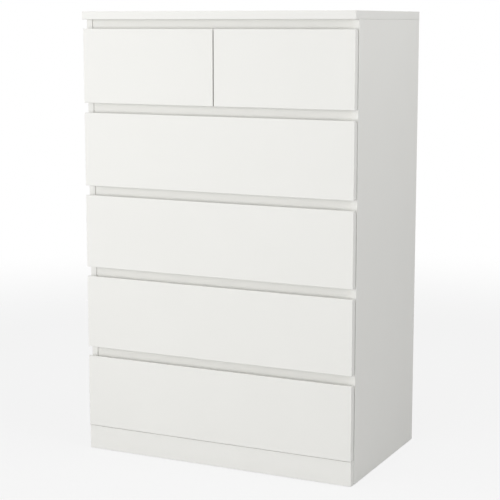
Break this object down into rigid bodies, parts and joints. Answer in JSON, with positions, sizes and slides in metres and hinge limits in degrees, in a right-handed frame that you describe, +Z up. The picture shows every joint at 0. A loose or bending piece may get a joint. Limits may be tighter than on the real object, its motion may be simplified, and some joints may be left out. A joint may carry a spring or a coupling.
{
  "type": "chest of drawers",
  "caption": "Tall white chest of drawers: small drawers side by side over wide ones, handle-free fronts pulled by their bevelled upper edges, flush plinth.",
  "frame": {"origin": "centre of the footprint, on the floor", "axes": "+Z up, +X to the right as one faces the drawers, +Y to the wall behind; the drawer fronts face -Y"},
  "size_m": [0.8, 0.48, 1.23],
  "materials": {
    "white_foil": "satin white foil and edge banding over particleboard and fibreboard",
    "drawer_board": "matt white paper foil over 12 mm board",
    "white_hardboard": "lacquered white hardboard, 3 mm",
    "white_plastic": "moulded, fine texture",
    "white_coated_steel": "white powder coat",
    "zinc_steel": "bright zinc plate",
    "nylon": "natural white nylon"
  },
  "bodies": {
    "carcass": {"top_panel": "white_foil", "left_side_panel": "white_foil", "right_side_panel": "white_foil", "top_front_rail": "white_foil", "cross_rail_1": "white_foil", "cross_rail_2": "white_foil", "cross_rail_3": "white_foil", "cross_rail_4": "white_foil", "rear_base_rail": "white_foil", "plinth_front": "white_foil", "centre_divider": "white_foil", "back_panel_upper": "white_hardboard", "back_panel_lower": "white_hardboard", "back_joining_strip": "white_plastic", "floor_glides": "white_plastic", "wall_brackets": "zinc_steel", "cam_locks": "zinc_steel", "cabinet_runners": "white_coated_steel"},
    "top_left_drawer": {"top_left_drawer_front": "white_foil", "top_left_drawer_sides": "drawer_board", "top_left_drawer_back": "drawer_board", "top_left_drawer_bottom": "white_hardboard", "top_left_drawer_runners": "white_coated_steel"},
    "top_left_drawer_rollers": {"top_left_drawer_rollers": "nylon"},
    "top_left_drawer_cabinet_rollers": {"top_left_drawer_cabinet_rollers": "nylon"},
    "top_right_drawer": {"top_right_drawer_front": "white_foil", "top_right_drawer_sides": "drawer_board", "top_right_drawer_back": "drawer_board", "top_right_drawer_bottom": "white_hardboard", "top_right_drawer_runners": "white_coated_steel"},
    "top_right_drawer_rollers": {"top_right_drawer_rollers": "nylon"},
    "top_right_drawer_cabinet_rollers": {"top_right_drawer_cabinet_rollers": "nylon"},
    "second_drawer": {"second_drawer_front": "white_foil", "second_drawer_sides": "drawer_board", "second_drawer_back": "drawer_board", "second_drawer_bottom": "white_hardboard", "second_drawer_runners": "white_coated_steel"},
    "second_drawer_rollers": {"second_drawer_rollers": "nylon"},
    "second_drawer_cabinet_rollers": {"second_drawer_cabinet_rollers": "nylon"},
    "third_drawer": {"third_drawer_front": "white_foil", "third_drawer_sides": "drawer_board", "third_drawer_back": "drawer_board", "third_drawer_bottom": "white_hardboard", "third_drawer_runners": "white_coated_steel"},
    "third_drawer_rollers": {"third_drawer_rollers": "nylon"},
    "third_drawer_cabinet_rollers": {"third_drawer_cabinet_rollers": "nylon"},
    "fourth_drawer": {"fourth_drawer_front": "white_foil", "fourth_drawer_sides": "drawer_board", "fourth_drawer_back": "drawer_board", "fourth_drawer_bottom": "white_hardboard", "fourth_drawer_runners": "white_coated_steel"},
    "fourth_drawer_rollers": {"fourth_drawer_rollers": "nylon"},
    "fourth_drawer_cabinet_rollers": {"fourth_drawer_cabinet_rollers": "nylon"},
    "bottom_drawer": {"bottom_drawer_front": "white_foil", "bottom_drawer_sides": "drawer_board", "bottom_drawer_back": "drawer_board", "bottom_drawer_bottom": "white_hardboard", "bottom_drawer_runners": "white_coated_steel"},
    "bottom_drawer_rollers": {"bottom_drawer_rollers": "nylon"},
    "bottom_drawer_cabinet_rollers": {"bottom_drawer_cabinet_rollers": "nylon"}
  },
  "joints": [
    {"name": "top_left_drawer_slide", "type": "slide", "parent": "carcass", "child": "top_left_drawer", "axis": [0, -1, 0], "range_m": [0, 0.3]},
    {"name": "top_left_drawer_rollers_turn", "type": "hinge", "parent": "top_left_drawer", "child": "top_left_drawer_rollers", "pos_m": [-0.19525, 0.165, 1.0065], "axis": [1, 0, 0], "continuous": true},
    {"name": "top_left_drawer_cabinet_rollers_turn", "type": "hinge", "parent": "carcass", "child": "top_left_drawer_cabinet_rollers", "pos_m": [-0.19525, -0.199, 1.0095], "axis": [1, 0, 0], "continuous": true},
    {"name": "top_right_drawer_slide", "type": "slide", "parent": "carcass", "child": "top_right_drawer", "axis": [0, -1, 0], "range_m": [0, 0.3]},
    {"name": "top_right_drawer_rollers_turn", "type": "hinge", "parent": "top_right_drawer", "child": "top_right_drawer_rollers", "pos_m": [0.19525, 0.165, 1.0065], "axis": [1, 0, 0], "continuous": true},
    {"name": "top_right_drawer_cabinet_rollers_turn", "type": "hinge", "parent": "carcass", "child": "top_right_drawer_cabinet_rollers", "pos_m": [0.19525, -0.199, 1.0095], "axis": [1, 0, 0], "continuous": true},
    {"name": "second_drawer_slide", "type": "slide", "parent": "carcass", "child": "second_drawer", "axis": [0, -1, 0], "range_m": [0, 0.3]},
    {"name": "second_drawer_rollers_turn", "type": "hinge", "parent": "second_drawer", "child": "second_drawer_rollers", "pos_m": [0, 0.165, 0.7785], "axis": [1, 0, 0], "continuous": true},
    {"name": "second_drawer_cabinet_rollers_turn", "type": "hinge", "parent": "carcass", "child": "second_drawer_cabinet_rollers", "pos_m": [0, -0.199, 0.7815], "axis": [1, 0, 0], "continuous": true},
    {"name": "third_drawer_slide", "type": "slide", "parent": "carcass", "child": "third_drawer", "axis": [0, -1, 0], "range_m": [0, 0.3]},
    {"name": "third_drawer_rollers_turn", "type": "hinge", "parent": "third_drawer", "child": "third_drawer_rollers", "pos_m": [0, 0.165, 0.5505], "axis": [1, 0, 0], "continuous": true},
    {"name": "third_drawer_cabinet_rollers_turn", "type": "hinge", "parent": "carcass", "child": "third_drawer_cabinet_rollers", "pos_m": [0, -0.199, 0.5535], "axis": [1, 0, 0], "continuous": true},
    {"name": "fourth_drawer_slide", "type": "slide", "parent": "carcass", "child": "fourth_drawer", "axis": [0, -1, 0], "range_m": [0, 0.3]},
    {"name": "fourth_drawer_rollers_turn", "type": "hinge", "parent": "fourth_drawer", "child": "fourth_drawer_rollers", "pos_m": [0, 0.165, 0.3225], "axis": [1, 0, 0], "continuous": true},
    {"name": "fourth_drawer_cabinet_rollers_turn", "type": "hinge", "parent": "carcass", "child": "fourth_drawer_cabinet_rollers", "pos_m": [0, -0.199, 0.3255], "axis": [1, 0, 0], "continuous": true},
    {"name": "bottom_drawer_slide", "type": "slide", "parent": "carcass", "child": "bottom_drawer", "axis": [0, -1, 0], "range_m": [0, 0.3]},
    {"name": "bottom_drawer_rollers_turn", "type": "hinge", "parent": "bottom_drawer", "child": "bottom_drawer_rollers", "pos_m": [0, 0.165, 0.0945], "axis": [1, 0, 0], "continuous": true},
    {"name": "bottom_drawer_cabinet_rollers_turn", "type": "hinge", "parent": "carcass", "child": "bottom_drawer_cabinet_rollers", "pos_m": [0, -0.199, 0.0975], "axis": [1, 0, 0], "continuous": true}
  ],
  "couplings": [
    {"joint": "top_left_drawer_rollers_turn", "follows": "top_left_drawer_slide", "rad_per_m": 111.11},
    {"joint": "top_left_drawer_cabinet_rollers_turn", "follows": "top_left_drawer_slide", "rad_per_m": 111.11},
    {"joint": "top_right_drawer_rollers_turn", "follows": "top_right_drawer_slide", "rad_per_m": 111.11},
    {"joint": "top_right_drawer_cabinet_rollers_turn", "follows": "top_right_drawer_slide", "rad_per_m": 111.11},
    {"joint": "second_drawer_rollers_turn", "follows": "second_drawer_slide", "rad_per_m": 111.11},
    {"joint": "second_drawer_cabinet_rollers_turn", "follows": "second_drawer_slide", "rad_per_m": 111.11},
    {"joint": "third_drawer_rollers_turn", "follows": "third_drawer_slide", "rad_per_m": 111.11},
    {"joint": "third_drawer_cabinet_rollers_turn", "follows": "third_drawer_slide", "rad_per_m": 111.11},
    {"joint": "fourth_drawer_rollers_turn", "follows": "fourth_drawer_slide", "rad_per_m": 111.11},
    {"joint": "fourth_drawer_cabinet_rollers_turn", "follows": "fourth_drawer_slide", "rad_per_m": 111.11},
    {"joint": "bottom_drawer_rollers_turn", "follows": "bottom_drawer_slide", "rad_per_m": 111.11},
    {"joint": "bottom_drawer_cabinet_rollers_turn", "follows": "bottom_drawer_slide", "rad_per_m": 111.11}
  ]
}
